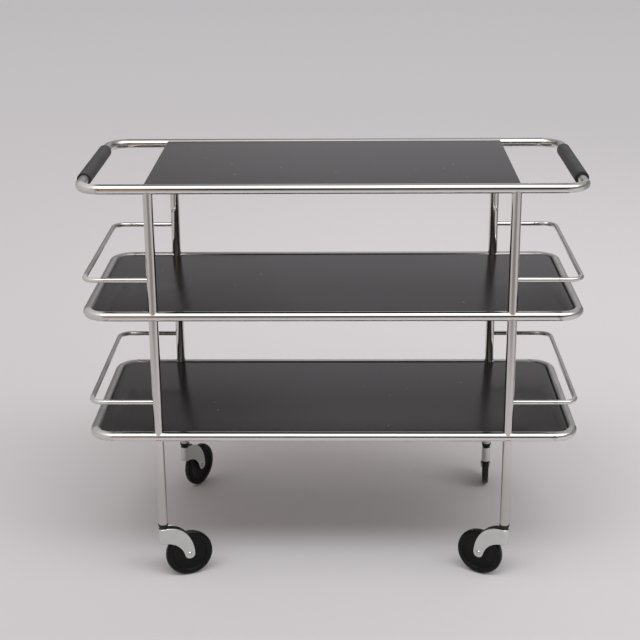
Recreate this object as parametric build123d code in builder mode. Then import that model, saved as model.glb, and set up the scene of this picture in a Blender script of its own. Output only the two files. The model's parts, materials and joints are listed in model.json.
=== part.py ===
from build123d import *
from math import cos, radians, sin, sqrt
import os

os.makedirs("parts", exist_ok=True)

# Serving trolley: three loops of chromed tube carry black shelf boards and stand on swivel casters.
# The origin is on the floor under the middle of the loops, +X along the length, +Z up, front at -Y.

# Tube frame
tube_d = 16.0
tube_wall = 1.5
loop_length = 802.0  # between the centrelines of the short sides
loop_depth = 343.0  # between the centrelines of the long sides
loop_corner_r = 34.0  # bend radius of the centreline
top_rail_height = 687.0  # floor to the top rail's centreline
shelf_pitch = 211.1  # from one loop down to the next
end_reach = 111.0  # from a post out to the centreline of the short side
post_inset = 1.2  # posts stand this far inside the centrelines of the long sides
post_end_land = 2.0  # a post is cut off this far short of the centreline of the rail it meets
weld_gap = 0.05  # between a saddle-cut end and the tube it is welded to
vent_d = 4.0  # plating drain through the loops, hidden inside the posts
spigot_length = 60.0
spigot_chamfer = 0.75

# Shelf boards, their lugs and screws
board_t = 6.0
board_rise = 5.5  # upper face above the tube's centreline
board_gap = 1.5  # between a board's edge and the tube
board_squareness = 3.0  # how much tighter a board's corner is than the inside of the loop
board_edge_r = 0.8
top_board_overhang = 7.0  # past the post centrelines
lug_width = 20.0
lug_reach = 17.0  # inwards from the tube's inner side
lug_t = 2.5
lug_inset = 92.0  # from a post to the lug beside it
screw_d = 3.5
screw_head_d = 7.0
screw_head_h = 2.2
screw_head_taper = 20.0  # degrees
screw_cover = 2.0  # board left above the screw's tip
screw_clearance = 0.1

# End galleries
gallery_rod_d = 8.0
gallery_rise = 61.0  # above the loop's centreline
gallery_corner_r = 20.0

# Grips
grip_d = 23.0
grip_length = 214.0
grip_end_r = 1.5
grip_clearance = 0.1

# Casters
wheel_d = 82.0
fork_w = 16.0
fork_sheet = 1.5
fork_top_rise = 53.2  # top edge of the fork above the axle
fork_bow_rise = 25.2  # lower edge of the fork's bow above the axle
fork_underside = 1.0  # where the cheek's lower edge starts to fall, behind the swivel axis
cheek_shoulder_r = 42.0  # from the cheek's flat top into its back edge
cheek_back_r = 64.0  # the cheek's back edge, down to its round end
cheek_end_r = 8.7
bow_to_wheel = 2.9  # between the bow's lower edge and the tyre
collar_h = 7.4
collar_foot_d = 13.5  # the collar tapers down to this
collar_lip_h = 1.1
collar_lip_t = 0.9
socket_depth = 30.0  # inside the leg
socket_fit = 0.05
swivel_play = 0.3  # between the collar and the fork under it
stem_d = 8.0
stem_tip_chamfer = 1.0
running_fit = 0.05
axle_d = 5.0
axle_head_d = 7.5
axle_head_h = 2.0
bush_wall = 1.5
hub_side_play = 0.3
tyre_side_play = 0.6
hub_boss_d = 20.0
disc_recess = 1.0  # the wheel disc's faces sit this far inside the tyre's
rim_d = 56.0  # seat of the tyre
rim_flange_h = 1.5
rim_flange_t = 1.6
rim_fit = 0.1
tyre_shoulder_r = 4.5

# Where each caster trails at rest, in degrees from +X
rest_yaw = {"front_left": 20.0, "front_right": 151.0, "rear_left": 59.0, "rear_right": 85.0}

# Worked out from the sizes above
tube_r = tube_d / 2
bore_r = tube_r - tube_wall
saddle_r = tube_r + weld_gap
half_length = loop_length / 2
half_depth = loop_depth / 2
post_x = half_length - end_reach
post_y = half_depth - post_inset
heights = {
    "top": top_rail_height,
    "middle": top_rail_height - shelf_pitch,
    "bottom": top_rail_height - 2 * shelf_pitch,
}
axle_z = wheel_d / 2
fork_top_z = axle_z + fork_top_rise
bow_bottom_z = axle_z + fork_bow_rise
collar_z = fork_top_z + swivel_play
leg_bottom_z = collar_z + collar_h
cheek_gap = fork_w - 2 * fork_sheet
trail = fork_w / 2 + bow_to_wheel + sqrt((wheel_d / 2) ** 2 - fork_bow_rise**2)
corners = {
    "front_left": (-post_x, -post_y),
    "front_right": (post_x, -post_y),
    "rear_left": (-post_x, post_y),
    "rear_right": (post_x, post_y),
}
sides = {"left": -1, "right": 1}


def save(builder, name):
    """Label a finished piece and write it to its own file."""
    builder.part.label = name
    export_step(builder.part, f"parts/{name}.step")


def half_loop_points(side):
    """Corner points of half a loop, from the middle of one short side to the other."""
    return (
        (-half_length, 0),
        (-half_length, side * half_depth),
        (half_length, side * half_depth),
        (half_length, 0),
    )


# Top rail: two bent halves that meet inside the grips
for name, side in {"top_rail_front": -1, "top_rail_rear": 1}.items():
    with BuildPart() as half_rail:
        with BuildLine(Plane.XY.offset(heights["top"])):
            route = FilletPolyline(*half_loop_points(side), radius=loop_corner_r)
        with BuildSketch(Plane(origin=route @ 0, z_dir=route % 0)):
            Circle(tube_r)
            Circle(bore_r, mode=Mode.SUBTRACT)
        sweep()
    save(half_rail, name)

# Plugs that join the two halves of the top rail
with BuildPart() as spigots:
    with BuildSketch(Plane.XZ):
        with Locations((-half_length, heights["top"]), (half_length, heights["top"])):
            Circle(bore_r - socket_fit)
    extrude(amount=spigot_length / 2, both=True)
    chamfer(spigots.edges().filter_by(GeomType.CIRCLE), spigot_chamfer)
save(spigots, "top_rail_spigots")

# Middle and bottom frames: closed loops with drain holes under the posts
for level in ("middle", "bottom"):
    with BuildPart() as frame_loop:
        with BuildLine(Plane.XY.offset(heights[level])):
            route = FilletPolyline(*half_loop_points(-1), radius=loop_corner_r)
        with BuildSketch(Plane(origin=route @ 0, z_dir=route % 0)):
            Circle(tube_r)
            Circle(bore_r, mode=Mode.SUBTRACT)
        sweep()
        mirror(about=Plane.XZ)
        with BuildSketch(Plane.XY.offset(heights[level])):
            with GridLocations(2 * post_x, 2 * post_y, 2, 2):
                Circle(vent_d / 2)
        extrude(amount=tube_d, both=True, mode=Mode.SUBTRACT)
    save(frame_loop, f"{level}_frame")


def post(name, place, low, high, saddles):
    """A length of tube on a post centreline, saddle-cut to the rails at the given heights."""
    x, y = place
    rail_y = half_depth if y > 0 else -half_depth
    with BuildPart() as tube:
        with BuildSketch(Plane.XY.offset(low)):
            with Locations(place):
                Circle(tube_r)
                Circle(bore_r, mode=Mode.SUBTRACT)
        extrude(amount=high - low)
        with BuildSketch(Plane.YZ.offset(x)):
            with Locations(*((rail_y, height) for height in saddles)):
                Circle(saddle_r)
        extrude(amount=tube_d, both=True, mode=Mode.SUBTRACT)
    save(tube, name)


for corner, place in corners.items():
    top, middle, bottom = heights["top"], heights["middle"], heights["bottom"]
    post(f"{corner}_upper_post", place, middle + post_end_land, top - post_end_land, (middle, top))
    post(f"{corner}_middle_post", place, bottom + post_end_land, middle - post_end_land, (bottom, middle))
    post(f"{corner}_leg", place, leg_bottom_z, bottom - post_end_land, (bottom,))

# End galleries: a U of rod whose ends are saddle-cut against the posts
for level in ("middle", "bottom"):
    rod_z = heights[level] + gallery_rise
    for end, side in sides.items():
        with BuildPart() as gallery:
            with BuildLine(Plane.XY.offset(rod_z)):
                route = FilletPolyline(
                    (side * post_x, -post_y),
                    (side * half_length, -post_y),
                    (side * half_length, post_y),
                    (side * post_x, post_y),
                    radius=gallery_corner_r,
                )
            with BuildSketch(Plane(origin=route @ 0, z_dir=route % 0)):
                Circle(gallery_rod_d / 2)
            sweep()
            with BuildSketch(Plane.XY.offset(rod_z)):
                with Locations((side * post_x, -post_y), (side * post_x, post_y)):
                    Circle(saddle_r)
            extrude(amount=gallery_rod_d, both=True, mode=Mode.SUBTRACT)
        save(gallery, f"{end}_{level}_gallery")

# Grips: sleeves over the middle of the top rail's short sides
for end, side in sides.items():
    with BuildPart() as grip:
        with BuildSketch(Plane.XZ):
            with Locations((side * half_length, heights["top"])):
                Circle(grip_d / 2)
        extrude(amount=grip_length / 2, both=True)
        fillet(grip.edges().filter_by(GeomType.CIRCLE), grip_end_r)
        with BuildSketch(Plane.XZ):
            with Locations((side * half_length, heights["top"])):
                Circle(tube_r + grip_clearance)
        extrude(amount=grip_length, both=True, mode=Mode.SUBTRACT)
    save(grip, f"{end}_grip")

# Lugs stand at these places on the inner side of a loop: two on each long side, and one on each
# short side of the loops that a board fills
lug_x = post_x - lug_inset
hole_in = tube_r + lug_reach / 2
long_side_lugs = [(x, side) for x in (-lug_x, lug_x) for side in (-1, 1)]
long_side_holes = [(x, side * (half_depth - hole_in)) for x, side in long_side_lugs]
short_side_holes = [(side * (half_length - hole_in), 0) for side in (-1, 1)]
screw_places = {
    "top": long_side_holes,
    "middle": long_side_holes + short_side_holes,
    "bottom": long_side_holes + short_side_holes,
}
board_bottom_rise = board_rise - board_t
lug_mid_rise = board_bottom_rise - lug_t / 2
lug_bottom_rise = board_bottom_rise - lug_t
lug_in = tube_r + lug_reach

# Boards: the top one is cut square past the posts, the others follow their loops
board_depth = loop_depth - tube_d - 2 * board_gap
board_corner_r = loop_corner_r - tube_r - board_squareness
for level, height in heights.items():
    with BuildPart() as board:
        with BuildSketch(Plane.XY.offset(height + board_bottom_rise)):
            if level == "top":
                Rectangle(2 * (post_x + top_board_overhang), board_depth)
            else:
                RectangleRounded(loop_length - tube_d - 2 * board_gap, board_depth, board_corner_r)
        extrude(amount=board_t)
        fillet(board.faces().sort_by(Axis.Z)[-1].edges(), board_edge_r)
        with BuildSketch(Plane.XY.offset(height + board_bottom_rise)):
            with Locations(*screw_places[level]):
                Circle(screw_d / 2 + screw_clearance)
        extrude(amount=board_t - screw_cover + screw_clearance, mode=Mode.SUBTRACT)
    save(board, f"{level}_board")

# Lugs: flat steel tabs under the boards, hollowed to the tube they are welded to
for level, height in heights.items():
    with BuildPart() as lugs:
        for x, side in long_side_lugs:
            with BuildSketch(Plane.YZ.offset(x)):
                with Locations((side * (half_depth - lug_in / 2), height + lug_mid_rise)):
                    Rectangle(lug_in, lug_t)
                with Locations((side * half_depth, height)):
                    Circle(saddle_r, mode=Mode.SUBTRACT)
            extrude(amount=lug_width / 2, both=True)
        if level != "top":
            for side in (-1, 1):
                with BuildSketch(Plane.XZ):
                    with Locations((side * (half_length - lug_in / 2), height + lug_mid_rise)):
                        Rectangle(lug_in, lug_t)
                    with Locations((side * half_length, height)):
                        Circle(saddle_r, mode=Mode.SUBTRACT)
                extrude(amount=lug_width / 2, both=True)
        with BuildSketch(Plane.XY.offset(height + lug_bottom_rise)):
            with Locations(*screw_places[level]):
                Circle(screw_d / 2 + screw_clearance)
        extrude(amount=lug_t, mode=Mode.SUBTRACT)
    save(lugs, f"{level}_board_lugs")

# Screws: pan heads under the lugs, shanks up into the boards
with BuildPart() as screws:
    for level, height in heights.items():
        with BuildSketch(Plane.XY.offset(height + lug_bottom_rise)):
            with Locations(*screw_places[level]):
                Circle(screw_d / 2)
        extrude(amount=lug_t + board_t - screw_cover)
        with BuildSketch(Plane.XY.offset(height + lug_bottom_rise)):
            with Locations(*screw_places[level]):
                Circle(screw_head_d / 2)
        extrude(amount=-screw_head_h, taper=screw_head_taper)
save(screws, "board_screws")

# Casters. A cheek's flat top rounds over the shoulder into the back edge, and that runs straight down
# into the round end about the axle. The lower edge is one arc from the bow to the round end. Where two
# arcs meet they share a tangent, which fixes their centres.
end_centre = Vector(trail, axle_z)
end_back = end_centre + Vector(cheek_end_r, 0)
back_centre = end_back - Vector(cheek_back_r, 0)
shoulder_z = fork_top_z - cheek_shoulder_r
shoulder_shift = sqrt((cheek_back_r - cheek_shoulder_r) ** 2 - (shoulder_z - axle_z) ** 2)
shoulder_x = back_centre.X + shoulder_shift
shoulder_end = back_centre + (Vector(shoulder_x, shoulder_z) - back_centre).normalized() * cheek_back_r
climb = trail - fork_underside
climb_r = (climb**2 + fork_bow_rise**2 - cheek_end_r**2) / (2 * (fork_bow_rise + cheek_end_r))
climb_centre = Vector(fork_underside, bow_bottom_z - climb_r)
climb_start = end_centre + (climb_centre - end_centre).normalized() * cheek_end_r
fork_reach = trail + cheek_end_r

tyre_w = cheek_gap - 2 * tyre_side_play
hub_w = cheek_gap - 2 * hub_side_play
disc_w = tyre_w - 2 * disc_recess
rim_r = rim_d / 2
channel_w = disc_w - 2 * rim_flange_t
bush_r = axle_d / 2 + socket_fit + bush_wall


def wheel_plane(place, yaw):
    """The plane through the wheel's middle, its origin on the floor below the swivel axis."""
    x_dir = Vector(cos(radians(yaw)), sin(radians(yaw)), 0)
    return Plane(origin=(*place, 0), x_dir=x_dir, z_dir=x_dir.cross(Vector(0, 0, 1)))


for corner, place in corners.items():
    middle_plane = wheel_plane(place, rest_yaw[corner])
    level_plane = Plane(origin=(*place, 0), x_dir=middle_plane.x_dir)
    axle_point = middle_plane.from_local_coords(end_centre)
    axle_axis = Axis(axle_point, middle_plane.z_dir)
    axle_plane = Plane(origin=axle_point, x_dir=middle_plane.z_dir, z_dir=-middle_plane.x_dir)

    # Socket pressed into the leg, one piece with the collar that shows under it
    with BuildPart() as socket:
        with BuildSketch(Plane.XY.offset(collar_z)):
            with Locations(place):
                Circle(collar_foot_d / 2)
        with BuildSketch(Plane.XY.offset(leg_bottom_z)):
            with Locations(place):
                Circle(tube_r + collar_lip_t)
        loft()
        with BuildSketch(Plane.XY.offset(leg_bottom_z)):
            with Locations(place):
                Circle(tube_r + collar_lip_t)
                Circle(tube_r + socket_fit, mode=Mode.SUBTRACT)
        extrude(amount=collar_lip_h)
        with BuildSketch(Plane.XY.offset(leg_bottom_z)):
            with Locations(place):
                Circle(bore_r - socket_fit)
        extrude(amount=socket_depth)
        with BuildSketch(Plane.XY.offset(collar_z)):
            with Locations(place):
                Circle(stem_d / 2 + running_fit)
        extrude(amount=collar_h + socket_depth, mode=Mode.SUBTRACT)
    save(socket, f"{corner}_socket")

    # Swivel pin: a thick foot brazed into the fork's bow and a stem that turns in the socket
    with BuildPart() as pin:
        with BuildSketch(Plane.XY.offset(bow_bottom_z)):
            with Locations(place):
                Circle(fork_w / 2 - fork_sheet - weld_gap)
        extrude(amount=fork_top_z - bow_bottom_z)
        with BuildSketch(Plane.XY.offset(fork_top_z)):
            with Locations(place):
                Circle(stem_d / 2)
        extrude(amount=swivel_play + collar_h + socket_depth)
        chamfer(pin.faces().sort_by(Axis.Z)[-1].edges(), stem_tip_chamfer)
    save(pin, f"{corner}_swivel_pin")

    # Fork: sheet bent to a half-round bow with two parallel cheeks, cut to a horn-shaped outline
    with BuildPart() as fork:
        with BuildSketch(level_plane.offset(axle_z - cheek_end_r)):
            Circle(fork_w / 2)
            with Locations((fork_reach / 2, 0)):
                Rectangle(fork_reach, fork_w)
            Circle(cheek_gap / 2, mode=Mode.SUBTRACT)
            with Locations((fork_reach / 2, 0)):
                Rectangle(fork_reach, cheek_gap, mode=Mode.SUBTRACT)
        extrude(amount=fork_top_rise + cheek_end_r)
        with BuildSketch(middle_plane):
            with BuildLine():
                Line((-fork_w / 2, fork_top_z), (shoulder_x, fork_top_z))
                shoulder = TangentArc((shoulder_x, fork_top_z), shoulder_end, tangent=(1, 0))
                TangentArc(shoulder_end, end_back, tangent=shoulder % 1)
                TangentArc(end_back, climb_start, tangent=(0, -1))
                TangentArc((fork_underside, bow_bottom_z), climb_start, tangent=(1, 0))
                Line((fork_underside, bow_bottom_z), (-fork_w / 2, bow_bottom_z))
                Line((-fork_w / 2, bow_bottom_z), (-fork_w / 2, fork_top_z))
            make_face()
            with Locations((trail, axle_z)):
                Circle(axle_d / 2 + socket_fit, mode=Mode.SUBTRACT)
        extrude(amount=fork_w, both=True, mode=Mode.INTERSECT)
    save(fork, f"{corner}_fork")

    # Axle: a rivet with a domed head on each cheek
    with BuildPart() as axle:
        with BuildSketch(axle_plane):
            with BuildLine():
                shank = Polyline(
                    (-fork_w / 2, axle_head_d / 2),
                    (-fork_w / 2, axle_d / 2),
                    (fork_w / 2, axle_d / 2),
                    (fork_w / 2, axle_head_d / 2),
                )
                head_tip = fork_w / 2 + axle_head_h
                TangentArc((head_tip, 0), shank @ 1, tangent=(0, 1))
                TangentArc((-head_tip, 0), shank @ 0, tangent=(0, 1))
                Line((-head_tip, 0), (head_tip, 0))
            make_face()
        revolve(axis=axle_axis)
    save(axle, f"{corner}_axle")

    # Bush that keeps the cheeks apart
    with BuildPart() as bush:
        with BuildSketch(middle_plane):
            with Locations((trail, axle_z)):
                Circle(bush_r)
                Circle(axle_d / 2 + socket_fit, mode=Mode.SUBTRACT)
        extrude(amount=cheek_gap / 2 - weld_gap, both=True)
    save(bush, f"{corner}_axle_bush")

    # Wheel disc: a moulding with a hub boss and a channelled rim
    with BuildPart() as wheel:
        with BuildSketch(axle_plane):
            with BuildLine():
                half_section = Polyline(
                    (0, bush_r + running_fit),
                    (hub_w / 2, bush_r + running_fit),
                    (hub_w / 2, hub_boss_d / 2),
                    (disc_w / 2, hub_boss_d / 2),
                    (disc_w / 2, rim_r + rim_flange_h),
                    (channel_w / 2, rim_r + rim_flange_h),
                    (channel_w / 2, rim_r),
                    (0, rim_r),
                )
                mirror(half_section, about=Plane.YZ)
            make_face()
        revolve(axis=axle_axis)
    save(wheel, f"{corner}_wheel")

    # Tyre: a solid rubber ring seated in the rim's channel
    with BuildPart() as tyre:
        with BuildSketch(axle_plane) as tyre_section:
            with BuildLine():
                half_section = Polyline(
                    (0, rim_r),
                    (channel_w / 2 - rim_fit, rim_r),
                    (channel_w / 2 - rim_fit, rim_r + rim_flange_h + rim_fit),
                    (tyre_w / 2, rim_r + rim_flange_h + rim_fit),
                    (tyre_w / 2, wheel_d / 2),
                    (0, wheel_d / 2),
                )
                mirror(half_section, about=Plane.YZ)
            make_face()
            fillet(tyre_section.vertices().group_by(Axis.Y)[-1], tyre_shoulder_r)
        revolve(axis=axle_axis)
    save(tyre, f"{corner}_tyre")
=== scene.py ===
import json
from math import cos, pi, radians, sin, sqrt

import bpy
import numpy as np
from mathutils import Matrix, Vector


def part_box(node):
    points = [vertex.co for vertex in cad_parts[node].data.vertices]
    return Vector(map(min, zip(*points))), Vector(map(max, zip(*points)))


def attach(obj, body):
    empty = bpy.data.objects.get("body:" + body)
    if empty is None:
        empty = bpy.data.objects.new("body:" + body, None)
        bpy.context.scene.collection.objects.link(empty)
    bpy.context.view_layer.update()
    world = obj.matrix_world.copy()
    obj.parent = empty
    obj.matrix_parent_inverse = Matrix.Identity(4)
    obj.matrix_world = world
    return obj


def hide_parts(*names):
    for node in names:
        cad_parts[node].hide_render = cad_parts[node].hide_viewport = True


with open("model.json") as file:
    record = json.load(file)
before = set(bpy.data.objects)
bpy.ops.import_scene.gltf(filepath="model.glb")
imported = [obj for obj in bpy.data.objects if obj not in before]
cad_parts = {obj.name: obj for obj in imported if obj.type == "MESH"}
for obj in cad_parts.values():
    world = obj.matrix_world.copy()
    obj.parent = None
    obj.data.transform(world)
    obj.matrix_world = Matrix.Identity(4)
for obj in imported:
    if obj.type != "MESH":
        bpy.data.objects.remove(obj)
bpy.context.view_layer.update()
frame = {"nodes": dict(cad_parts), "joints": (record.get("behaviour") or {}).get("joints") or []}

# Top rail. Two lengths of round steel tube are bent to half a loop each and meet inside the grips. They
# are polished and chromed. Age has left pits, and wrinkles and a matt haze on the bends, most of it at the
# front left. Along the inside of the loops, beside the boards, the chrome is darkened as grime and painted
# shade. The chrome of posts and legs is duller, with small blisters, and below the bottom loop the legs'
# chrome is painted darker still, as painted shade under the cart.
rail_low, rail_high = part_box("top_rail_front")
tube_r = (rail_high.z - rail_low.z) / 2
top_z = (rail_high.z + rail_low.z) / 2
half_length = rail_high.x - tube_r
half_depth = -rail_low.y - tube_r
bend_r = 0.034
bend_steps = 28
bend_guard = 0.06  # straight stretch kept beside each bend, as a share of its radius
tube_sides = 48
sharp_edge = radians(35)  # faces that meet at a steeper fold show an edge


def bent_route(stops, radius, closed):
    """Centreline through the stops with square corners rounded, and its unit tangents.

    At a corner P with directions a in and b out, the bend is P + radius ((sin t - 1) a + (1 - cos t) b),
    with t from 0 to a quarter turn. One guard point on each side keeps the straight runs straight.
    """
    stops = np.asarray(stops, float)
    legs = np.roll(stops, -1, axis=0) - stops
    legs /= np.linalg.norm(legs, axis=1, keepdims=True)
    corners, way_in, way_out = stops, np.roll(legs, 1, axis=0), legs
    if not closed:
        corners, way_in, way_out = stops[1:-1], legs[:-2], legs[1:-1]
    turn = np.linspace(0, pi / 2, bend_steps + 1)
    along_in = np.concatenate([[-1 - bend_guard], np.sin(turn) - 1, [0]])[:, None]
    along_out = np.concatenate([[0], 1 - np.cos(turn), [1 + bend_guard]])[:, None]
    heading = np.concatenate([[0], turn, [pi / 2]])[:, None]
    way_in, way_out = way_in[:, None], way_out[:, None]
    points = corners[:, None] + radius * (along_in * way_in + along_out * way_out)
    tangents = np.cos(heading) * way_in + np.sin(heading) * way_out
    points, tangents = points.reshape(-1, 3), tangents.reshape(-1, 3)
    if not closed:
        points = np.vstack([stops[:1], points, stops[-1:]])
        tangents = np.vstack([tangents[:1], tangents, tangents[-1:]])
    return points, tangents


def grid_faces(rows, columns, ends="capped", flip=False):
    """Squares of a grid of rows by columns of points, each row closed to a ring, as lists of point numbers.

    The first and last rows are capped with one face each, joined to each other, or left open. With flip
    the faces look the other way.
    """
    number = np.arange(rows * columns).reshape(rows, columns)
    grid = np.vstack([number, number[:1]]) if ends == "joined" else number
    grid = np.hstack([grid, grid[:, :1]])
    square = (grid[:-1, :-1], grid[1:, :-1], grid[1:, 1:], grid[:-1, 1:])
    faces = np.stack(square, axis=-1).reshape(-1, 4).tolist()
    if ends == "capped":
        faces += [number[0].tolist(), number[-1, ::-1].tolist()]
    return [face[::-1] for face in faces] if flip else faces


def round_angles(count):
    """Angles of points that stand evenly round a circle."""
    return np.linspace(0, 2 * pi, count, endpoint=False)


def level_tube(points, tangents, radius, closed, sides=tube_sides):
    """Tube along a level route: at angle f round the route, point + radius (cos f side + sin f up)."""
    up = np.array([0.0, 0.0, 1.0])
    side = np.cross(tangents, up)[:, None]
    angle = round_angles(sides)[None, :, None]
    rings = points[:, None] + radius * (np.cos(angle) * side + np.sin(angle) * up)
    return rings.reshape(-1, 3), grid_faces(len(points), sides, "joined" if closed else "capped")


def add_piece(name, shape, finish, body, node):
    """Put a shape into the scene as a piece that stands for the given node of the frame.

    A shape is its points, its faces and, for finishes that follow the surface, each point's own place on
    the piece.
    """
    points, faces, *own = shape
    mesh = bpy.data.meshes.new(name)
    mesh.from_pydata(points.tolist(), [], faces)
    mesh.polygons.foreach_set("use_smooth", np.ones(len(mesh.polygons), bool))
    mesh.set_sharp_from_angle(angle=sharp_edge)
    mesh.materials.append(finish)
    if own:
        mesh.attributes.new("own", "FLOAT_VECTOR", "POINT").data.foreach_set("vector", own[0].ravel())
    piece = bpy.data.objects.new(name, mesh)
    bpy.context.scene.collection.objects.link(piece)
    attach(piece, body)
    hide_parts(node)


class Field:
    """A shader socket for Python arithmetic: an operator adds its Math node, add() any other node."""

    def __init__(self, tree, socket=None):
        self.tree = tree
        self.socket = socket

    def add(self, kind, settings=None, inputs=None, out=0):
        node = self.tree.nodes.new(kind)
        for name, value in (settings or {}).items():
            setattr(node, name, value)
        for name, value in (inputs or {}).items():
            if isinstance(value, Field):
                self.tree.links.new(value.socket, node.inputs[name])
            else:
                node.inputs[name].default_value = value
        return Field(self.tree, node.outputs[out])

    def calc(self, operation, first, second=0.0):
        return self.add("ShaderNodeMath", {"operation": operation}, {0: first, 1: second})

    def __add__(self, other):
        return self.calc("ADD", self, other)

    def __sub__(self, other):
        return self.calc("SUBTRACT", self, other)

    def __rsub__(self, other):
        return self.calc("SUBTRACT", other, self)

    def __mul__(self, other):
        return self.calc("MULTIPLY", self, other)

    def __abs__(self):
        return self.calc("ABSOLUTE", self)

    __radd__ = __add__
    __rmul__ = __mul__


def new_finish(name):
    """An empty finish, as its material and the Field of its object coordinates."""
    material = bpy.data.materials.new(name)
    material.use_nodes = True
    return material, Field(material.node_tree).add("ShaderNodeTexCoord", out="Object")


def dress(place, inputs):
    """Feed a finish's shader: a Field is linked, and a number or colour is set on the socket itself."""
    shader = place.tree.nodes["Principled BSDF"]
    for name, value in inputs.items():
        if isinstance(value, Field):
            place.tree.links.new(value.socket, shader.inputs[name])
        else:
            shader.inputs[name].default_value = value


def axis_of(place, axis):
    """One coordinate of a place."""
    return place.add("ShaderNodeSeparateXYZ", None, {0: place}, axis)


def own_of(place):
    """Each point's own place on its piece, as add_piece stored it."""
    return place.add("ShaderNodeAttribute", {"attribute_name": "own"}, None, "Vector")


def between(value, low, high):
    """0 below low, 1 above high and a smooth step between. With low above high it falls instead."""
    inputs = {"Value": value, "From Min": low, "From Max": high}
    return value.add("ShaderNodeMapRange", {"interpolation_type": "SMOOTHSTEP"}, inputs)


def noise(place, per_metre, detail=2.0, roughness=0.55):
    """Cloudy noise from 0 to 1, with so many cells to the metre."""
    inputs = {"Vector": place, "Scale": per_metre, "Detail": detail, "Roughness": roughness}
    return place.add("ShaderNodeTexNoise", None, inputs)


def patches(place, per_metre, low, high, detail=2.0, roughness=0.55):
    """Irregular patches: 0 where cloudy noise is below low, 1 where it is above high."""
    return between(noise(place, per_metre, detail, roughness), low, high)


def specks(place, per_metre, size, kind="3D"):
    """Small round spots: 1 at a spot's middle and 0 outside, size being its radius as a share of a cell.

    Spots of kind 2D lie on a level face, and the others anywhere in space.
    """
    inputs = {"Vector": place, "Scale": per_metre}
    distance = place.add("ShaderNodeTexVoronoi", {"voronoi_dimensions": kind}, inputs, "Distance")
    return between(distance, size, size / 2)


def blend(factor, first, second):
    """Colour that goes from first to second as factor goes from 0 to 1."""
    return factor.add("ShaderNodeMix", {"data_type": "RGBA"}, {0: factor, 6: first, 7: second}, 2)


def bumped(height, distance):
    """Normal of a surface raised by height times distance, in metres."""
    return height.add("ShaderNodeBump", None, {"Distance": distance, "Height": height})


bright_plate, hazy_plate, matt_plate = (0.76, 0.75, 0.735, 1), (0.66, 0.65, 0.635, 1), (0.57, 0.57, 0.57, 1)
# leg_shade_plate is painted shade: the legs' chrome below the bottom loop
post_plate, leg_shade_plate = (0.67, 0.655, 0.635, 1), (0.525, 0.51, 0.488, 1)
# grime_shade_brown is grime and painted shade on the inside of the loops, beside the boards
pit_brown, grime_shade_brown = (0.20, 0.17, 0.15, 1), (0.08, 0.07, 0.06, 1)
plate_wave = 0.00008  # height of the plate's waviness
bend_start = half_length - bend_r
haze_fade = 0.012  # the haze of the bends fades over this much on both sides of their start
wrinkle_run = (0.002, 0.006)  # from a bend's start, full up to the first and gone past the second
matt_run = (bend_start - 0.004, bend_start + 0.016)  # along a rail, where the matt haze starts and is full
matt_side = (half_depth - bend_r * 0.9, half_depth - bend_r * 0.5)  # the same, across the cart
left_fade, front_fade = 0.1, 0.05  # half the widths over which right turns to left and back to front
top_rail_z = (top_z - 0.02, top_z - 0.01)  # what lies higher belongs to the top rail
board_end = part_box("top_board")[1].x
board_gap = 0.002  # half the length over which the grime and painted shade end with the board
grime_shade_line = (-0.60, -0.80)  # how far to the inside of the loop the grime and painted shade start and are full, in tube radii
leg_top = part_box("bottom_frame")[0].z
leg_shade_fade = 0.1  # length of the leg over which its chrome is painted darker, as painted shade under the cart

chrome, place = new_finish("aged_chrome")
along, across, up = (axis_of(place, axis) for axis in "XYZ")
from_middle = abs(along)
on_tube = own_of(place)
outward, on_upright = axis_of(on_tube, "X"), axis_of(on_tube, "Z")
left_half = between(along, left_fade, -left_fade)
front_half = between(across, front_fade, -front_fade)
on_bend = between(from_middle, bend_start - haze_fade, bend_start + haze_fade)
haze = patches(place, 22.0, 0.42, 0.72, detail=4.0)
bloom = haze * 0.15 + on_bend * (0.18 + left_half * 0.34 + haze * 0.16)
wrinkled = 1 - between(abs(from_middle - bend_start), *wrinkle_run)
wrinkles = wrinkled * patches(place, 210.0, 0.50, 0.62)
pits = specks(place, 520.0, 0.14) * patches(place, 40.0, 0.60, 0.72)
blisters = specks(place, 330.0, 0.20) * patches(place, 55.0, 0.46, 0.60) * on_upright
hand_gap = between(from_middle, board_end - board_gap, board_end + board_gap) * between(up, *top_rail_z)
# Grime and painted shade: the inside of each loop, facing the boards, is darkened where a board lies beside
# it.
grime_and_shade = between(outward, *grime_shade_line) * (1 - hand_gap)
front_wear = front_half * (0.45 + up * 0.5)
matt = between(abs(across), *matt_side) * between(from_middle, *matt_run)
matt = matt * (0.25 + left_half * (front_wear - 0.25))
plate = blend(bloom, bright_plate, hazy_plate)
plate = blend(on_upright, plate, post_plate)
# Painted shade: below the bottom loop the legs' chrome turns darker towards the floor.
plate = blend(between(up, leg_top, leg_top - leg_shade_fade), plate, leg_shade_plate)
plate = blend(matt, plate, matt_plate)
plate = blend(pits * 0.45 + wrinkles * 0.5 + blisters * 0.35, plate, pit_brown)
plate = blend(grime_and_shade * (0.9 - on_bend * (0.14 + left_half * 0.36)), plate, grime_shade_brown)
waviness = noise(place, 26.0, detail=1.0) - pits * 0.04 - wrinkles * 0.3
dress(place, {
    "Base Color": plate,
    "Metallic": 1 - matt,
    "Roughness": 0.03 + bloom * 0.55 + pits * 0.20 + grime_and_shade * 0.4,
    "Normal": bumped(waviness, plate_wave),
})


def half_loop(side, height):
    """Stops of half a loop, from the middle of its left end to the middle of its right end."""
    left, right, edge = -half_length, half_length, side * half_depth
    return [(left, 0, height), (left, edge, height), (right, edge, height), (right, 0, height)]


def on_section(points, outward):
    """Each point's place on the section of its tube, as (out of the loop, up, 0) from -1 to 1."""
    angle = np.arange(len(points)) * (2 * pi / tube_sides)
    return np.stack([outward * np.cos(angle), np.sin(angle), np.zeros_like(angle)], axis=-1)


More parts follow.
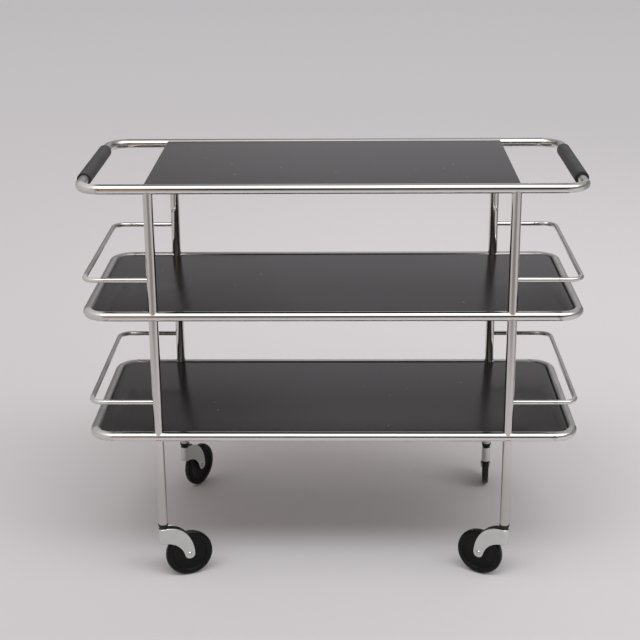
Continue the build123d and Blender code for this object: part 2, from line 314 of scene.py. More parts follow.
for node, side in (("top_rail_front", -1), ("top_rail_rear", 1)):
    points, faces = level_tube(*bent_route(half_loop(side, top_z), bend_r, False), tube_r, False)
    shape = points, faces, on_section(points, -side)
    add_piece(f"{node}_tube", shape, chrome, "frame", node)

# Middle and bottom frames. Each is one length of the same tube bent to a full loop and butt-welded, then
# ground, polished and chromed as one with its posts.
level_z = {"top": top_z}
for level in ("middle", "bottom"):
    loop_low, loop_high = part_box(f"{level}_frame")
    level_z[level] = (loop_low.z + loop_high.z) / 2
    stops = half_loop(-1, level_z[level])[1:3] + half_loop(1, level_z[level])[2:0:-1]
    points, faces = level_tube(*bent_route(stops, bend_r, True), tube_r, True)
    shape = points, faces, on_section(points, 1)
    add_piece(f"{level}_frame_tube", shape, chrome, "frame", f"{level}_frame")

# Posts and legs. Lengths of the same tube stand between the loops. Their ends are cut to a saddle that
# sits on the round of the rail, and a thin weld runs round the seam, ground and chromed with the tube.
corners = ("front_left", "front_right", "rear_left", "rear_right")
tube_wall = 0.0015
bore_r = tube_r - tube_wall
upright_rows = 9
upright_mark = (0.0, 0.0, 1.0)  # tells the chrome that it lies on a post or leg
weld_r = 0.0006
weld_sides = 10
post_low, post_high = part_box("front_left_upper_post")
end_land = post_low.z - level_z["middle"]  # from the rail's middle line to the flat parts of a post's end


def saddle(angle, y, rail_z, side):
    """Height of the seam between a post and a rail, side being 1 above the rail's middle and -1 below.

    At distance off from the rail's middle line, the rail's surface lies sqrt(tube_r^2 - off^2) above or
    below that line. Where this is less than end_land, the post ends flat.
    """
    off = y + tube_r * np.sin(angle) - np.sign(y) * half_depth
    return rail_z + side * np.maximum(np.sqrt(np.maximum(tube_r**2 - off**2, 0)), end_land)


def upright(x, y, low_seam, high_seam):
    """Tube on a vertical axis between two seams, each a height for every angle round it.

    Its rows climb the outside from the low seam to the high one and go down the bore again.
    """
    angle = round_angles(tube_sides)
    share = np.append(np.linspace(0, 1, upright_rows), (1, 0))[:, None]
    radius = np.append(np.full(upright_rows, tube_r), (bore_r, bore_r))[:, None]
    height = low_seam * (1 - share) + high_seam * share
    rows = np.stack([x + radius * np.cos(angle), y + radius * np.sin(angle), height], axis=-1)
    return rows.reshape(-1, 3), grid_faces(len(share), tube_sides, "joined", flip=True)


def weld_bead(x, y, rail_z, side):
    """Thin round bead along the seam: its section is a circle across the seam's own direction."""
    angle = round_angles(2 * tube_sides)
    height = saddle(angle, y, rail_z, side)
    seam = np.stack([x + tube_r * np.cos(angle), y + tube_r * np.sin(angle), height], axis=-1)
    way = np.roll(seam, -1, axis=0) - np.roll(seam, 1, axis=0)
    way /= np.linalg.norm(way, axis=1, keepdims=True)
    out = np.stack([np.cos(angle), np.sin(angle), np.zeros_like(angle)], axis=-1)
    out -= way * np.sum(way * out, axis=1, keepdims=True)
    out /= np.linalg.norm(out, axis=1, keepdims=True)
    across = np.cross(way, out)
    turn = round_angles(weld_sides)[None, :, None]
    rings = seam[:, None] + weld_r * (np.cos(turn) * out[:, None] + np.sin(turn) * across[:, None])
    return rings.reshape(-1, 3), grid_faces(len(seam), weld_sides, "joined")


def add_upright(node, *shapes):
    """Put a tube and its welds into the scene as one piece, marked for the chrome as an upright."""
    points = np.vstack([some for some, _ in shapes])
    starts = np.cumsum([0] + [len(some) for some, _ in shapes])
    faces = [[start + i for i in face] for start, (_, some) in zip(starts, shapes) for face in some]
    shape = points, faces, np.tile(upright_mark, (len(points), 1))
    add_piece(f"{node}_tube", shape, chrome, "frame", node)


around = round_angles(tube_sides)
post_place = {}
for corner in corners:
    leg_low, leg_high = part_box(f"{corner}_leg")
    x, y = (leg_low.x + leg_high.x) / 2, (leg_low.y + leg_high.y) / 2
    post_place[corner] = (x, y)
    for part, low, high in (("upper_post", "middle", "top"), ("middle_post", "bottom", "middle")):
        low_end, high_end = (y, level_z[low], 1), (y, level_z[high], -1)
        post = upright(x, y, saddle(around, *low_end), saddle(around, *high_end))
        add_upright(f"{corner}_{part}", post, weld_bead(x, *low_end), weld_bead(x, *high_end))
    high_end = (y, level_z["bottom"], -1)
    leg = upright(x, y, np.full_like(around, leg_low.z), saddle(around, *high_end))
    add_upright(f"{corner}_leg", leg, weld_bead(x, *high_end))

# Shelf boards. Thin boards faced with black laminate, semi-matte, with softened top edges. The top one is
# cut square at the posts, the others follow the inside of their loops. They carry faint streaks from
# wiping, a few scuffs, specks of dust and here and there a crumb.
board_edge_r = 0.0008
board_corner_r = {"top": 0.0006, "middle": 0.023, "bottom": 0.023}
least_corner_r = 0.00001  # left of a corner that is sharper than the edge's round
corner_steps = 16
edge_steps = 5


def rounded_outline(half_x, half_y, radius):
    """Outline of a rectangle with round corners, as quarter circles about four centres."""
    quarter = np.linspace(0, pi / 2, corner_steps + 1)
    angle = quarter[None] + np.arange(4)[:, None] * pi / 2
    centre_x = (half_x - radius) * np.array([1, -1, -1, 1])[:, None]
    centre_y = (half_y - radius) * np.array([1, 1, -1, -1])[:, None]
    outline = np.stack([centre_x + radius * np.cos(angle), centre_y + radius * np.sin(angle)], axis=-1)
    return outline.reshape(-1, 2)


def plate_of(low, high, radius, edge_r):
    """Plate between two corners: its outline climbs the side and rolls over a quarter-round top edge."""
    middle = (low + high) / 2
    half = (high - low) / 2
    roll = np.linspace(0, pi / 2, edge_steps + 1)
    insets = np.concatenate([[0], edge_r * (1 - np.cos(roll))])
    heights = np.concatenate([[low.z], high.z - edge_r + edge_r * np.sin(roll)])
    radii = np.maximum(radius - insets, least_corner_r)
    rings = [rounded_outline(half.x - inset, half.y - inset, r) for inset, r in zip(insets, radii)]
    rings = np.stack(rings) + np.array([middle.x, middle.y])
    levels = np.broadcast_to(heights[:, None, None], (*rings.shape[:2], 1))
    points = np.concatenate([rings, levels], axis=-1).reshape(-1, 3)
    return points, grid_faces(len(heights), rings.shape[1], flip=True)


def stretched(place, scale, turn=0.0):
    """A place scaled along its axes and then turned about the upright one."""
    return place.add("ShaderNodeMapping", None, {"Vector": place, "Rotation": (0, 0, turn), "Scale": scale})


deep_black, faded_black = (0.022, 0.020, 0.021, 1), (0.028, 0.026, 0.027, 1)
scuff_grey, crumb_grey = (0.33, 0.32, 0.31, 1), (0.45, 0.44, 0.42, 1)
streak_scale, scuff_scale, scuff_turn = (2.2, 60.0, 1.0), (9.0, 260.0, 1.0), 0.5
laminate_grain = 0.00002

laminate, place = new_finish("black_laminate")
streaks = patches(stretched(place, streak_scale), 1.0, 0.40, 0.75, detail=5.0, roughness=0.6)
clouds = patches(place, 7.0, 0.35, 0.75, detail=4.0, roughness=0.6)
scuffs = patches(stretched(place, scuff_scale, scuff_turn), 1.0, 0.66, 0.74)
scuffs = scuffs * patches(place, 5.0, 0.52, 0.62)
dust = specks(place, 130.0, 0.05) * patches(place, 16.0, 0.50, 0.62)
crumbs = specks(place, 16.0, 0.021, "2D") * patches(place, 9.0, 0.57, 0.60, detail=1.0)
black = blend(clouds * 0.6 + streaks * 0.10, deep_black, faded_black)
black = blend(scuffs * 0.04 + dust * 0.6, black, scuff_grey)
black = blend(crumbs * 0.8, black, crumb_grey)
dress(place, {
    "Base Color": black,
    "Roughness": 0.18 + clouds * 0.03 + streaks * 0.01 + scuffs * 0.06,
    "Normal": bumped(noise(place, 900.0) * 0.3 + dust, laminate_grain),
})
for level, corner_r in board_corner_r.items():
    board = plate_of(*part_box(f"{level}_board"), corner_r, board_edge_r)
    add_piece(f"{level}_board_sheet", board, laminate, "frame", f"{level}_board")

# Lugs, screws and plugs. Small flat steel lugs are welded inside the loops, and pan-head screws pass
# through them into the boards. They show only from below, and the rail's plugs not at all.
clean_steel, scaly_steel = (0.56, 0.55, 0.53, 1), (0.40, 0.38, 0.36, 1)
steel_grain = 0.00003

plain_steel, place = new_finish("plain_steel")
scale_marks = patches(place, 90.0, 0.40, 0.70, detail=4.0)
dress(place, {
    "Base Color": blend(scale_marks, clean_steel, scaly_steel),
    "Metallic": 1.0,
    "Roughness": 0.32 + scale_marks * 0.2,
    "Normal": bumped(noise(place, 600.0, detail=3.0), steel_grain),
})
for node in (
    "top_board_lugs", "middle_board_lugs", "bottom_board_lugs", "board_screws", "top_rail_spigots",
):
    frame["nodes"][node].data.materials.clear()
    frame["nodes"][node].data.materials.append(plain_steel)

# End galleries. A U of thin rod keeps things from sliding off each end of the two lower shelves. Its
# ends are cut to the round of the posts and brazed to them, and it is chromed with the frame.
gallery_bend_r = 0.020
gallery_sides = 32
post_x, post_y = -(post_low.x + post_high.x) / 2, -(post_low.y + post_high.y) / 2
for level in ("middle", "bottom"):
    for end, side in (("left", -1), ("right", 1)):
        node = f"{end}_{level}_gallery"
        rod_low, rod_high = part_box(node)
        rod_r, rod_z = (rod_high.z - rod_low.z) / 2, (rod_high.z + rod_low.z) / 2
        stops = [
            (side * post_x, -post_y, rod_z), (side * half_length, -post_y, rod_z),
            (side * half_length, post_y, rod_z), (side * post_x, post_y, rod_z),
        ]
        points, faces = level_tube(*bent_route(stops, gallery_bend_r, False), rod_r, False, gallery_sides)
        rings = points.reshape(-1, gallery_sides, 3)
        off_axis = np.abs(rings[[0, -1], :, 1]) - post_y
        rings[[0, -1], :, 0] = side * (post_x + np.sqrt(tube_r**2 - off_axis**2))
        add_piece(f"{node}_rod", (points, faces), chrome, "frame", node)

# Grips. Dark grey sleeves of firm rubber pushed over the short sides of the top rail, with rounded ends.
# Their surface is matt and rubbed a little smoother along the top, where a painted sheen makes it paler.
# The ends are darker, with dirt and painted shade in the end rings.
grip_end_r = 0.0015
grip_fit = 0.0001
grip_sides = 64
axis_r = 1e-9  # a profile point nearer to the axis than this is on it
upright_axis = 0.9  # an axis that rises by more than this counts as upright


def turned(profile, centre, axis, sides):
    """Surface of a profile turned about an axis, with each point's own place on it before it is set.

    A profile point is (height along the axis, radius). It goes to centre + height axis + radius (cos f e
    + sin f g), with e and g square to the axis. The profile runs with the solid on its right. It either
    closes on itself or starts and ends on the axis, where one point each closes the surface.
    """
    profile, axis = np.asarray(profile, float), np.asarray(axis, float)
    poles = profile[0, 1] < axis_r
    rings = profile[1:-1] if poles else profile
    first = np.cross(axis, (0.0, 0.0, 1.0) if abs(axis[2]) < upright_axis else (0.0, 1.0, 0.0))
    first /= np.linalg.norm(first)
    second = np.cross(axis, first)
    angle = round_angles(sides)[None, :]
    height = np.broadcast_to(rings[:, :1], (len(rings), sides))
    own = np.stack([rings[:, 1:] * np.cos(angle), rings[:, 1:] * np.sin(angle), height], axis=-1)
    own = own.reshape(-1, 3)
    faces = grid_faces(len(rings), sides, "open" if poles else "joined", flip=True)
    if poles:
        here = np.arange(sides)
        after = np.roll(here, -1)
        last = len(own) - sides
        faces += np.stack([np.full(sides, len(own)), after, here], axis=-1).tolist()
        faces += np.stack([last + after, np.full(sides, len(own) + 1), last + here], axis=-1).tolist()
        own = np.vstack([own, [(0, 0, profile[0, 0]), (0, 0, profile[-1, 0])]])
    return np.asarray(centre) + own @ np.stack([first, second, axis]), faces, own


def arc(centre, radius, start, stop, steps=8):
    """Points of an arc in a profile, from one angle to another, in degrees."""
    angle = np.radians(np.linspace(start, stop, steps + 1))
    return np.stack([centre[0] + radius * np.cos(angle), centre[1] + radius * np.sin(angle)], axis=-1)


dark_rubber, pale_rubber = (0.048, 0.048, 0.049, 1), (0.066, 0.066, 0.067, 1)
# end_dirt_shade is dirt and painted shade on the grips' ends
end_dirt_shade = (0.006, 0.006, 0.006, 1)
pebble_height = 0.00008
grip_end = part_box("left_grip")[1].y
dark_run = (grip_end - 0.012, grip_end)  # darker stretch at each end
end_run = (grip_end - grip_end_r * 0.6, grip_end - grip_end_r * 0.2)
rubbed_sheen_z = (top_z + 0.004, top_z + 0.011)

sleeve, place = new_finish("grip_sleeve")
from_middle = abs(axis_of(place, "Y"))
mottle = patches(place, 30.0, 0.30, 0.75, detail=5.0, roughness=0.6)
# Painted sheen: the top of each grip is painted paler, and it is also rubbed smoother there.
rubbed_sheen = between(axis_of(place, "Z"), *rubbed_sheen_z) * mottle
grey = blend(mottle * 0.6 + rubbed_sheen * 0.3, dark_rubber, pale_rubber)
# Dirt and painted shade: darker over the last stretch of each end, darkest on the rounded end rings.
dirt_and_shade = between(from_middle, *dark_run) * 0.30 + between(from_middle, *end_run) * 0.65
dress(place, {
    "Base Color": blend(dirt_and_shade, grey, end_dirt_shade),
    "Roughness": 0.62 - rubbed_sheen * 0.10,
    "Normal": bumped(noise(place, 700.0) + mottle * 0.5, pebble_height),
})
for end, side in (("left", -1), ("right", 1)):
    grip_low, grip_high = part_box(f"{end}_grip")
    grip_r = (grip_high.z - grip_low.z) / 2
    half_grip = (grip_high.y - grip_low.y) / 2
    profile = np.vstack([
        [(-half_grip, tube_r + grip_fit)],
        arc((-half_grip + grip_end_r, grip_r - grip_end_r), grip_end_r, 180, 90),
        arc((half_grip - grip_end_r, grip_r - grip_end_r), grip_end_r, 90, 0),
        [(half_grip, tube_r + grip_fit)],
    ])
    shape = turned(profile, (side * half_length, 0, top_z), (0, 1, 0), grip_sides)
    add_piece(f"{end}_grip_sleeve", shape, sleeve, "frame", f"{end}_grip")

# Caster sockets. A black moulding is pressed into each leg and shows as a shallow collar under it, a
# little wider than the tube. The swivel pin turns in its bore.
socket_fit = 0.00005
stem_r = 0.004
running_fit = 0.00005
collar_lip = 0.0011
collar_foot_r = 0.00675
collar_round = 0.0005
collar_steps = 4
moulded_black, smeared_black = (0.005, 0.005, 0.005, 1), (0.012, 0.0115, 0.011, 1)
moulding_grain = 0.00003

moulding, place = new_finish("black_moulding")
smears = patches(place, 60.0, 0.40, 0.70, detail=4.0)
dress(place, {
    "Base Color": blend(smears, moulded_black, smeared_black),
    "Specular IOR Level": 0.3,
    "Roughness": 0.42 + smears * 0.16,
    "Normal": bumped(noise(place, 900.0), moulding_grain),
})
for corner in corners:
    low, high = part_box(f"{corner}_socket")
    leg_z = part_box(f"{corner}_leg")[0].z
    lip_z = leg_z + collar_lip
    collar_r = (high.x - low.x) / 2
    hole_r, seat_r, plug_r = stem_r + running_fit, tube_r + socket_fit, bore_r - socket_fit
    profile = np.vstack([
        [(low.z, hole_r), (low.z, collar_foot_r - collar_round), (low.z + collar_round, collar_foot_r)],
        [(leg_z, collar_r)],
        arc((lip_z - collar_round, collar_r - collar_round), collar_round, 90, 0, collar_steps),
        [(lip_z, seat_r), (leg_z, seat_r), (leg_z, plug_r), (high.z, plug_r), (high.z, hole_r)],
    ])
    shape = turned(profile, (*post_place[corner], 0), (0, 0, 1), tube_sides)
    add_piece(f"{corner}_collar", shape, moulding, "frame", f"{corner}_socket")

# Swivel pins. Turned steel: a thick foot brazed into the bow of the fork and a stem that turns in the
# socket. Only the foot shows, between the fork's cheeks.
pin_tip = 0.001
for corner in corners:
    low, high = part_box(f"{corner}_swivel_pin")
    fork_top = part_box(f"{corner}_fork")[1].z
    foot_r = (high.x - low.x) / 2
    profile = [
        (low.z, 0), (low.z, foot_r), (fork_top, foot_r), (fork_top, stem_r),
        (high.z - pin_tip, stem_r), (high.z, stem_r - pin_tip), (high.z, 0),
    ]
    shape = turned(profile, (*post_place[corner], 0), (0, 0, 1), tube_sides)
    body = f"{corner}_caster"
    add_piece(f"{corner}_pin", shape, plain_steel, body, f"{corner}_swivel_pin")

# Forks. Steel sheet bent to a U: a half-round bow under the leg and two cheeks that sweep back and down
# to the axle like a horn. Satin zinc plate, open on top, with broken edges and a few specks of dirt.
sheet_t = 0.0015
fork_half_w = 0.008
bow_rise = 0.0252  # lower edge of the bow above the axle
underside_x = 0.001  # where the lower edge starts to fall, behind the swivel axis
shoulder_r = 0.042
back_r = 0.064
edge_break = 0.0003
cheek_steps = 44
tip_share = 0.99  # the rows stop just short of the round end, so that the sheet has a face there
bow_steps = 20


def horn_edges(t, trail, axle_z, top, end_r):
    """Heights of a cheek's lower and upper edge at distance t behind the swivel axis.

    The upper edge is flat, then an arc of shoulder_r, then one of back_r that is upright beside the
    axle. The lower edge is one arc from the bow, tangent to the round end about the axle.
    """
    back_x = trail + end_r - back_r
    shoulder_z = top - shoulder_r
    shoulder_x = back_x + sqrt((back_r - shoulder_r) ** 2 - (shoulder_z - axle_z) ** 2)
    meet_x = back_x + (shoulder_x - back_x) * back_r / (back_r - shoulder_r)
    over = shoulder_z + np.sqrt(np.clip(shoulder_r**2 - np.clip(t - shoulder_x, 0, None) ** 2, 0, None))
    down = axle_z + np.sqrt(np.clip(back_r**2 - (t - back_x) ** 2, 0, None))
    climb = trail - underside_x
    climb_r = (climb**2 + bow_rise**2 - end_r**2) / (2 * (bow_rise + end_r))
    climb_z = axle_z + bow_rise - climb_r
    touch_x = trail - climb * end_r / (climb_r + end_r)
    under = climb_z + np.sqrt(np.clip(climb_r**2 - np.clip(t - underside_x, 0, None) ** 2, 0, None))
    round_end = axle_z - np.sqrt(np.clip(end_r**2 - (t - trail) ** 2, 0, None))
    return np.where(t < touch_x, under, round_end), np.where(t < meet_x, over, down)


def fork_shape(place, ahead, trail, axle_z, top, end_r):
    """Sheet along a U in plan, each section a tall rectangle with broken edges between the horn's edges.

    Along the plan, cheek points lie at t = reach sin(share quarter turn), so that they crowd the round
    end, and bow points on a half circle. A section's points stand off the sheet's middle line.
    """
    ahead = np.array([*ahead, 0.0])
    aside = np.cross((0.0, 0.0, 1.0), ahead)
    half_t = sheet_t / 2
    middle_r = fork_half_w - half_t
    t = (trail + end_r) * np.sin(np.linspace(tip_share, 0, cheek_steps + 1) * pi / 2)
    turn = np.linspace(-pi / 2, -3 * pi / 2, bow_steps + 1)[1:-1]
    plan_t = np.concatenate([t, middle_r * np.cos(turn), t[::-1]])
    cheek_s = np.full_like(t, middle_r)
    plan_s = np.concatenate([-cheek_s, middle_r * np.sin(turn), cheek_s])
    out_t = np.concatenate([np.zeros_like(t), np.cos(turn), np.zeros_like(t)])
    out_s = np.concatenate([np.full_like(t, -1.0), np.sin(turn), np.ones_like(t)])
    low, high = horn_edges(plan_t, trail, axle_z, top, end_r)
    broken = np.minimum(edge_break, (high - low) / 2)
    inner = half_t - edge_break
    off = np.array([half_t, half_t, inner, -inner, -half_t, -half_t, -inner, inner])
    above, below = high - broken, low + broken
    height = np.stack([below, above, high, high, above, below, low, low], axis=-1)
    along = plan_t[:, None] + off * out_t[:, None]
    beside = plan_s[:, None] + off * out_s[:, None]
    own = np.stack([along, beside, height], axis=-1)
    points = np.array([*place, 0.0]) + own @ np.stack([ahead, aside, (0.0, 0.0, 1.0)])
    return points.reshape(-1, 3), grid_faces(*height.shape, flip=True), own.reshape(-1, 3)


bright_zinc, cloudy_zinc = (0.675, 0.69, 0.67, 1), (0.62, 0.635, 0.615, 1)
fork_dirt = (0.09, 0.075, 0.065, 1)
roll_scale = (60.0, 60.0, 900.0)  # fine level lines left by rolling the sheet
zinc_wave = 0.00002

zinc, place = new_finish("satin_zinc")
own_place = own_of(place)
lines = patches(stretched(own_place, roll_scale), 1.0, 0.30, 0.70, detail=4.0, roughness=0.6)
cloudy = patches(own_place, 70.0, 0.38, 0.70)
dirt = specks(own_place, 70.0, 0.075) * patches(own_place, 40.0, 0.50, 0.60, detail=1.0)
metal = blend(cloudy * 0.5 + lines * 0.2, bright_zinc, cloudy_zinc)
dress(place, {
    "Base Color": blend(dirt * 0.85, metal, fork_dirt),
    "Metallic": 1.0,
    "Roughness": 0.21 + cloudy * 0.04 + lines * 0.02 + dirt * 0.25,
    "Normal": bumped(cloudy + lines * 0.01, zinc_wave),
})
joints = {joint["name"]: joint for joint in frame["joints"]}
axle_place, axle_way = {}, {}
for corner in corners:
    swivel, roll = joints[f"{corner}_swivel"], joints[f"{corner}_roll"]
    ahead = np.array(roll["pos_m"][:2]) - np.array(swivel["pos_m"][:2])
    trail = float(np.linalg.norm(ahead))
    axle_place[corner], axle_way[corner] = np.array(roll["pos_m"]), np.array(roll["axis"])
    low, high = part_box(f"{corner}_fork")
    axle_z = roll["pos_m"][2]
    shape = fork_shape(post_place[corner], ahead / trail, trail, axle_z, high.z, axle_z - low.z)
    add_piece(f"{corner}_horn", shape, zinc, f"{corner}_caster", f"{corner}_fork")

# Axles. Each is a steel rivet through the cheeks with a domed head on both sides, and a bush between the
# cheeks that the wheel turns on.
axle_r = 0.0025
head_r = 0.00375
head_h = 0.0020
bush_fit = 0.00005
bush_wall = 0.0015
axle_sides = 32
dome_r = (head_r**2 + head_h**2) / (2 * head_h)
dome_span = np.degrees(np.arcsin(head_r / dome_r))
dome_middle = fork_half_w + head_h - dome_r
rivet = np.vstack([
    arc((-dome_middle, 0), dome_r, 180, 180 - dome_span),
    [(-fork_half_w, axle_r), (fork_half_w, axle_r)],
    arc((dome_middle, 0), dome_r, dome_span, 0),
])
half_bush = fork_half_w - sheet_t - bush_fit
bush_hole_r = axle_r + bush_fit
bush_r = bush_hole_r + bush_wall
bush = [(-half_bush, bush_hole_r), (-half_bush, bush_r), (half_bush, bush_r), (half_bush, bush_hole_r)]
for corner in corners:
    body, axle = f"{corner}_caster", (axle_place[corner], axle_way[corner], axle_sides)
    add_piece(f"{corner}_rivet", turned(rivet, *axle), zinc, body, f"{corner}_axle")
    shape = turned(bush, *axle)
    add_piece(f"{corner}_bush", shape, plain_steel, body, f"{corner}_axle_bush")

# Wheels. A hard black disc, moulded with a hub boss and a shallow dished web, turns on the bush. Its rim
# holds a solid rubber tyre with rounded shoulders, a fine parting line and dust on the tread.
wheel_r = axle_place["front_left"][2]
wheel_sides = 96
hub_half_w = 0.0062
boss_r = 0.010
boss_break = 0.0008
boss_foot = 0.0012
web_half_w = 0.0043
rim_foot, rim_step = 0.0030, 0.0020  # where the rim rises from the web, and where it is full, inside rim_r
rim_r = 0.0295
disc_half_w = 0.0049
disc_break = 0.0003
channel_half_w = 0.0033
channel_r = 0.028
tyre_fit = 0.0001
tyre_half_w = 0.0059
tyre_groove = 0.0004
tyre_shoulder = 0.0045
tyre_steps = 10
tread_crown = 0.0002
parting_half_w, parting_drop = 0.0004, 0.4  # the line's foot lies at this share of the crown below its top

wheel_black, wheel_film = (0.002, 0.002, 0.002, 1), (0.005, 0.005, 0.0048, 1)
disc_grain = 0.00001
disc_black, place = new_finish("wheel_moulding")
own_place = own_of(place)
film = patches(own_place, 90.0, 0.40, 0.72, detail=4.0)
dress(place, {
    "Base Color": blend(film, wheel_black, wheel_film),
    "Specular IOR Level": 0.2,
    "Roughness": 0.38 + film * 0.10,
    "Normal": bumped(noise(own_place, 800.0), disc_grain),
})

floor_dust = (0.080, 0.077, 0.072, 1)
dusty_run = (wheel_r - 0.0014, wheel_r - 0.0004)
tyre_grain = 0.00002
tyre_black, place = new_finish("tyre_rubber")
own_place = own_of(place)
across_axle = own_place.add("ShaderNodeVectorMath", {"operation": "MULTIPLY"}, {0: own_place, 1: (1, 1, 0)})
from_axle = across_axle.add("ShaderNodeVectorMath", {"operation": "LENGTH"}, {0: across_axle}, "Value")
film = patches(own_place, 140.0, 0.36, 0.72, detail=5.0, roughness=0.65)
dusty = between(from_axle, *dusty_run) * (0.35 + film * 0.65)
dress(place, {
    "Base Color": blend(dusty * 0.55 + film * 0.03, wheel_black, floor_dust),
    "Specular IOR Level": 0.2,
    "Roughness": 0.22 + film * 0.08,
    "Normal": bumped(noise(own_place, 1200.0) * 0.2 + film * 0.5, tyre_grain),
})

hub_hole_r = bush_r + running_fit
disc_side = np.array([
    (hub_half_w - disc_break, hub_hole_r), (hub_half_w, hub_hole_r + disc_break),
    (hub_half_w, boss_r - boss_break), (hub_half_w - boss_break, boss_r),
    (web_half_w, boss_r + boss_foot), (web_half_w, rim_r - rim_foot),
    (disc_half_w, rim_r - rim_step), (disc_half_w, rim_r - disc_break), (disc_half_w - disc_break, rim_r),
    (channel_half_w, rim_r), (channel_half_w, channel_r),
])
disc = np.vstack([disc_side * (-1, 1), disc_side[::-1]])
key_half_w, inner_r = channel_half_w - tyre_fit, rim_r + tyre_fit
shoulder_middle = (tyre_half_w - tyre_shoulder, wheel_r - tread_crown - tyre_shoulder)
tyre_side = np.vstack([
    [(key_half_w, channel_r), (key_half_w, inner_r)],
    [(tyre_half_w - tyre_groove, inner_r), (tyre_half_w, inner_r + tyre_groove)],
    arc(shoulder_middle, tyre_shoulder, 0, 90, tyre_steps),
    [(parting_half_w, wheel_r - tread_crown * parting_drop), (0.0, wheel_r)],
])
tyre = np.vstack([tyre_side * (-1, 1), tyre_side[-2::-1]])
for corner in corners:
    body, axle = f"{corner}_roller", (axle_place[corner], axle_way[corner], wheel_sides)
    add_piece(f"{corner}_disc", turned(disc, *axle), disc_black, body, f"{corner}_wheel")
    add_piece(f"{corner}_tyre_ring", turned(tyre, *axle), tyre_black, body, f"{corner}_tyre")

# Studio. A wide pale paper floor runs to the horizon under a broad soft light, overhead and towards the
# viewer, with a strong band in it. Metal and laminate mirror a dark room with a brown strip behind the
# viewer, dark flanks, and a grey far side with darker corners; other surfaces get an even grey fill.
floor_half = 16.0
floor_drop = 0.0004
near_paper, mid_paper = (0.608, 0.589, 0.610, 1), (0.494, 0.483, 0.505, 1)
far_paper, left_paper = (0.461, 0.451, 0.473, 1), (0.508, 0.488, 0.507, 1)
front_mirrored, right_mirrored = (0.263, 0.252, 0.244, 1), (0.20, 0.19, 0.185, 1)
dark_room, brown_strip = (0.030, 0.027, 0.026, 1), (0.40, 0.22, 0.12, 1)
mid_run, far_run = (1.2, 4.2), (4.0, 9.0)  # distances from the cart over which the paper is painted darker, as painted light falloff
left_run, left_reach = (0.4, -1.3), (5.0, 3.0)
front_width, front_run = (1.6, 0.6), (-0.7, -1.9)
right_run, right_depth = (0.9, 1.4), (-0.5, 0.3)
room_run = (-3.5, -3.7)  # past this, towards the viewer, metal mirrors the dark room in place of the floor
strip_slope = 0.138  # sideways lean of the brown strip's edge, per metre away from the viewer
floor_strip_edge, sky_strip_edge = (0.03, -0.03), (0.008, -0.008)

floor_mesh = bpy.data.meshes.new("studio_floor")
span = floor_half * np.array([(-1, -1), (1, -1), (1, 1), (-1, 1)])
floor_mesh.from_pydata([(x, y, -floor_drop) for x, y in span.tolist()], [], [(0, 1, 2, 3)])
floor = bpy.data.objects.new("studio_floor", floor_mesh)
bpy.context.scene.collection.objects.link(floor)
paper, place = new_finish("floor_paper")
sideways, away = axis_of(place, "X"), axis_of(place, "Y")
distance = place.add("ShaderNodeVectorMath", {"operation": "LENGTH"}, {0: place}, "Value")
mirrored = place.add("ShaderNodeLightPath", out="Is Glossy Ray")
# Painted light falloff and painted shade: the paper is painted darker away from the cart, and darker to the
# left.
pale = blend(between(distance, *mid_run), near_paper, mid_paper)
pale = blend(between(distance, *far_run), pale, far_paper)
pale = blend(between(sideways, *left_run) * between(distance, *left_reach) * 0.6, pale, left_paper)
in_front = between(abs(sideways), *front_width) * between(away, *front_run)
pale = blend(mirrored * in_front, pale, front_mirrored)
to_right = between(sideways, *right_run) * between(away, *right_depth)
pale = blend(mirrored * to_right, pale, right_mirrored)
room = blend(between(sideways - away * strip_slope, *floor_strip_edge), dark_room, brown_strip)
pale = blend(mirrored * between(away, *room_run), pale, room)
dress(place, {"Base Color": pale, "Roughness": 0.85, "Specular IOR Level": 0.2})
floor_mesh.materials.append(paper)

soft_light, side_light = (1.22, 1.185, 1.13, 1), (0.76, 0.71, 0.56, 1)
key_light = (5.5, 5.57, 5.75, 1)
far_side, far_left = (0.43, 0.415, 0.43, 1), (0.25, 0.24, 0.246, 1)
fill_side, fill_left = (0.57, 0.545, 0.55, 1), (0.39, 0.37, 0.366, 1)
horizon_view = (0.515, 0.503, 0.518, 1)
# Angles are degrees over the top from the viewer's side, and the others shares of the direction's length.
# Each pair runs from where a zone starts to where it is full.
soft_low, soft_high = (22.5, 28.5), (99.0, 89.0)
key_low, key_high = (49.0, 55.0), (74.0, 64.0)
strip_top, far_start = (16.0, 10.0), (85.0, 110.0)
soft_shift, soft_side = 0.12, (0.8, 0.4)
left_start = (0.0, -0.3)
middle_left, middle_right = (-0.13, -0.02), (0.165, 0.105)
corner_rise, low_rise = (0.33, 0.365), (0.235, 0.205)
flank_side, flank_rise = (0.38, 0.58), (0.56, 0.40)

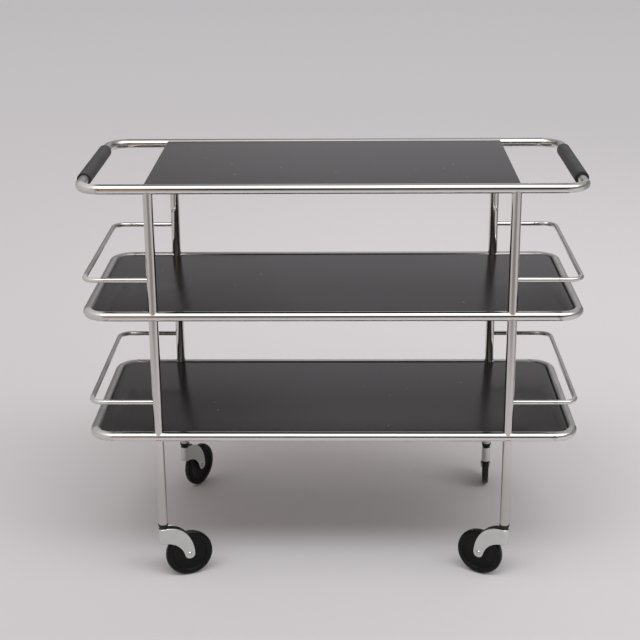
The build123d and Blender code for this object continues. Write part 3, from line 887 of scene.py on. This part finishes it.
world = bpy.data.worlds.new("studio")
world.use_nodes = True
bpy.context.scene.world = world
sky = Field(world.node_tree).add("ShaderNodeTexCoord", out="Generated")
sideways, away, rise = (axis_of(sky, axis) for axis in "XYZ")
mirrored = sky.add("ShaderNodeLightPath", out="Is Glossy Ray")
seen = sky.add("ShaderNodeLightPath", out="Is Camera Ray")
over = sky.calc("ARCTAN2", rise, 0 - away) * (180 / pi)
strip = between(sideways - away * strip_slope, *sky_strip_edge) * between(over, *strip_top)
room = blend(strip, dark_room, brown_strip)
to_left = between(sideways, *left_start)
far_middle = between(sideways, *middle_left) * between(sideways, *middle_right)
far_shade = between(rise, *corner_rise) * (1 - far_middle) * 0.38 + between(rise, *low_rise) * 0.16
far = blend(far_shade, blend(to_left, far_side, far_left), dark_room)
far = blend(mirrored, blend(to_left, fill_side, fill_left), far)
room = blend(between(over, *far_start), room, far)
panel = blend(between(over, *key_low) * between(over, *key_high), soft_light, key_light)
panel = blend(between(abs(sideways - soft_shift), *soft_side), side_light, panel)
light = blend(between(over, *soft_low) * between(over, *soft_high), room, panel)
flank = between(abs(sideways), *flank_side) * between(rise, *flank_rise)
light = blend(flank * mirrored, light, dark_room)
light = blend(seen, light, horizon_view)
world.node_tree.links.new(light.socket, world.node_tree.nodes["Background"].inputs["Color"])

# Camera. It stands in front of the cart, a little right of its middle and above it, and looks down. Its
# place, turn and lens come from a fit to the lines of the rails, posts and boards.
picture_px = 640
focal_px = 1443.4
sensor_mm = 36.0
eye = (0.0274, -2.3767, 1.2290)
heading, pitch, lean = radians(-1.229), radians(18.999), radians(-0.464)
forward = np.array([sin(heading) * cos(pitch), cos(heading) * cos(pitch), -sin(pitch)])
level_right = np.array([cos(heading), -sin(heading), 0.0])
level_up = np.cross(level_right, forward)
right = cos(lean) * level_right + sin(lean) * level_up
above = cos(lean) * level_up - sin(lean) * level_right
lens = bpy.data.cameras.new("viewer")
lens.sensor_width = sensor_mm
lens.lens = focal_px / picture_px * sensor_mm
viewer = bpy.data.objects.new("viewer", lens)
bpy.context.scene.collection.objects.link(viewer)
stand = np.eye(4)
stand[:3] = np.stack([right, above, -forward, eye], axis=-1)
viewer.matrix_world = Matrix(stand.tolist())
bpy.context.scene.camera = viewer
bpy.context.scene.view_settings.view_transform = "Standard"
